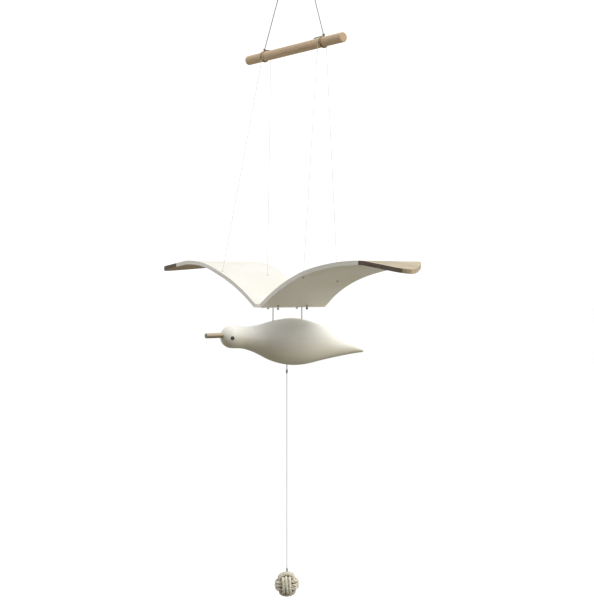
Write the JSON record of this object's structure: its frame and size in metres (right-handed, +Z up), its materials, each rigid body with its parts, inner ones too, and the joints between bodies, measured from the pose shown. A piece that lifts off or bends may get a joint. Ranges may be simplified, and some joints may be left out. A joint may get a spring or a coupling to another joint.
{
  "type": "crib mobile",
  "caption": "Hanging flapping-gull mobile: bent plywood wings hung by threads from a wooden bar, a carved body slung between them, and a pull cord with a rope ball.",
  "frame": {"origin": "Inside top of the hanging loop, where the ceiling hook bears", "axes": "+Z up; the beak points to -Y; the bar and the wings lie along X, the bird's left wing at +X"},
  "size_m": [0.4944, 0.2408, 0.8543],
  "materials": {
    "hanging_loop": "twisted cotton cord",
    "loop_knot": "twisted cotton cord",
    "suspension_cord_left": "twisted cotton cord",
    "bar_wrap_left": "twisted cotton cord",
    "bar_knot_left": "twisted cotton cord",
    "bar_tail_left": "twisted cotton cord",
    "thread_saddle_left": "fine thread",
    "wing_thread_left_front": "fine thread",
    "thread_knot_left_front": "fine thread",
    "link_knot_left_front": "thin cord",
    "wing_thread_left_rear": "fine thread",
    "thread_knot_left_rear": "fine thread",
    "link_knot_left_rear": "thin cord",
    "left_wing": "bent plywood, painted white with bare tips",
    "eye_left": "black, glossy",
    "suspension_cord_right": "twisted cotton cord",
    "bar_wrap_right": "twisted cotton cord",
    "bar_knot_right": "twisted cotton cord",
    "bar_tail_right": "twisted cotton cord",
    "thread_saddle_right": "fine thread",
    "wing_thread_right_front": "fine thread",
    "thread_knot_right_front": "fine thread",
    "link_knot_right_front": "thin cord",
    "wing_thread_right_rear": "fine thread",
    "thread_knot_right_rear": "fine thread",
    "link_knot_right_rear": "thin cord",
    "right_wing": "bent plywood, painted white with bare tips",
    "eye_right": "black, glossy",
    "top_bar": "bare pale dowel",
    "root_link_front": "thin cord",
    "hanger_loop_front": "thin cord",
    "hanger_front": "thin cord",
    "root_link_rear": "thin cord",
    "hanger_loop_rear": "thin cord",
    "hanger_rear": "thin cord",
    "body": "carved, painted white",
    "beak": "bare dowel",
    "pull_tether": "thin cord",
    "pull_knot": "thin cord",
    "pull_cord": "thin cord",
    "ball_knot": "thin cord",
    "monkey_fist": "cream cotton rope",
    "fist_core": "plain turned ball"
  },
  "bodies": {
    "hook_loop": {"hanging_loop": "hanging_loop"},
    "top_knot": {"loop_knot": "loop_knot"},
    "bar_frame": {"top_bar": "top_bar", "suspension_cord_left": "suspension_cord_left", "bar_wrap_left": "bar_wrap_left", "bar_knot_left": "bar_knot_left", "bar_tail_left": "bar_tail_left", "thread_saddle_left": "thread_saddle_left", "suspension_cord_right": "suspension_cord_right", "bar_wrap_right": "bar_wrap_right", "bar_knot_right": "bar_knot_right", "bar_tail_right": "bar_tail_right", "thread_saddle_right": "thread_saddle_right"},
    "root_links": {"root_link_front": "root_link_front", "root_link_rear": "root_link_rear", "link_knot_left_front": "link_knot_left_front", "link_knot_left_rear": "link_knot_left_rear", "link_knot_right_front": "link_knot_right_front", "link_knot_right_rear": "link_knot_right_rear"},
    "left_wing_body": {"left_wing": "left_wing", "thread_knot_left_front": "thread_knot_left_front", "thread_knot_left_rear": "thread_knot_left_rear"},
    "left_front_thread": {"wing_thread_left_front": "wing_thread_left_front"},
    "left_rear_thread": {"wing_thread_left_rear": "wing_thread_left_rear"},
    "right_wing_body": {"right_wing": "right_wing", "thread_knot_right_front": "thread_knot_right_front", "thread_knot_right_rear": "thread_knot_right_rear"},
    "right_front_thread": {"wing_thread_right_front": "wing_thread_right_front"},
    "right_rear_thread": {"wing_thread_right_rear": "wing_thread_right_rear"},
    "bird": {"body": "body", "beak": "beak", "eye_left": "eye_left", "eye_right": "eye_right", "hanger_front": "hanger_front", "hanger_loop_front": "hanger_loop_front", "hanger_rear": "hanger_rear", "hanger_loop_rear": "hanger_loop_rear"},
    "tether": {"pull_tether": "pull_tether", "pull_knot": "pull_knot"},
    "pull": {"pull_cord": "pull_cord", "ball_knot": "ball_knot", "monkey_fist": "monkey_fist", "fist_core": "fist_core"}
  },
  "joints": [
    {"name": "turn", "type": "hinge", "parent": "hook_loop", "child": "top_knot", "pos_m": [0, 0, -0.015], "axis": [0, 0, 1], "range_deg": [-60, 60], "stiffness_Nm_per_rad": 0.003},
    {"name": "swing", "type": "hinge", "parent": "top_knot", "child": "bar_frame", "pos_m": [0, 0, -0.0222], "axis": [1, 0, 0], "range_deg": [-12, 12]},
    {"name": "flap", "type": "slide", "parent": "bar_frame", "child": "root_links", "axis": [0, 0, 1], "range_m": [-0.0165, 0.0165], "stiffness_N_per_m": 60, "springref_m": 0.01495},
    {"name": "left_wing_flap", "type": "hinge", "parent": "root_links", "child": "left_wing_body", "pos_m": [0.01025, -0.0375, -0.48706], "axis": [0, 1, 0], "range_deg": [-14.2, 14.2]},
    {"name": "left_front_thread_lean", "type": "hinge", "parent": "left_wing_body", "child": "left_front_thread", "pos_m": [0.0843, -0.0563, -0.4527], "axis": [0, 1, 0], "range_deg": [-16, 16]},
    {"name": "left_rear_thread_lean", "type": "hinge", "parent": "left_wing_body", "child": "left_rear_thread", "pos_m": [0.07133, 0.0062, -0.45698], "axis": [0, 1, 0], "range_deg": [-15.77, 15.77]},
    {"name": "right_wing_flap", "type": "hinge", "parent": "root_links", "child": "right_wing_body", "pos_m": [-0.01015, -0.0375, -0.48674], "axis": [0, 1, 0], "range_deg": [-14.2, 14.2]},
    {"name": "right_front_thread_lean", "type": "hinge", "parent": "right_wing_body", "child": "right_front_thread", "pos_m": [-0.08308, -0.0563, -0.45007], "axis": [0, 1, 0], "range_deg": [-16.13, 16.13]},
    {"name": "right_rear_thread_lean", "type": "hinge", "parent": "right_wing_body", "child": "right_rear_thread", "pos_m": [-0.07025, 0.0062, -0.45475], "axis": [0, 1, 0], "range_deg": [-15.87, 15.87]},
    {"name": "body_side_swing", "type": "hinge", "parent": "root_links", "child": "bird", "pos_m": [0, -0.015, -0.4836], "axis": [0, 1, 0], "range_deg": [-12, 12]},
    {"name": "pull_side_swing", "type": "hinge", "parent": "bird", "child": "tether", "pos_m": [0, -0.016, -0.562], "axis": [0, 1, 0], "range_deg": [-15, 15]},
    {"name": "pull_fore_swing", "type": "hinge", "parent": "tether", "child": "pull", "pos_m": [0, -0.016, -0.575], "axis": [1, 0, 0], "range_deg": [-15, 15]}
  ],
  "couplings": [
    {"joint": "left_wing_flap", "follows": "flap", "rad_per_m": 14.809},
    {"joint": "left_front_thread_lean", "follows": "flap", "rad_per_m": -16.61},
    {"joint": "left_rear_thread_lean", "follows": "flap", "rad_per_m": -16.362},
    {"joint": "right_wing_flap", "follows": "flap", "rad_per_m": -14.809},
    {"joint": "right_front_thread_lean", "follows": "flap", "rad_per_m": 16.749},
    {"joint": "right_rear_thread_lean", "follows": "flap", "rad_per_m": 16.473}
  ]
}
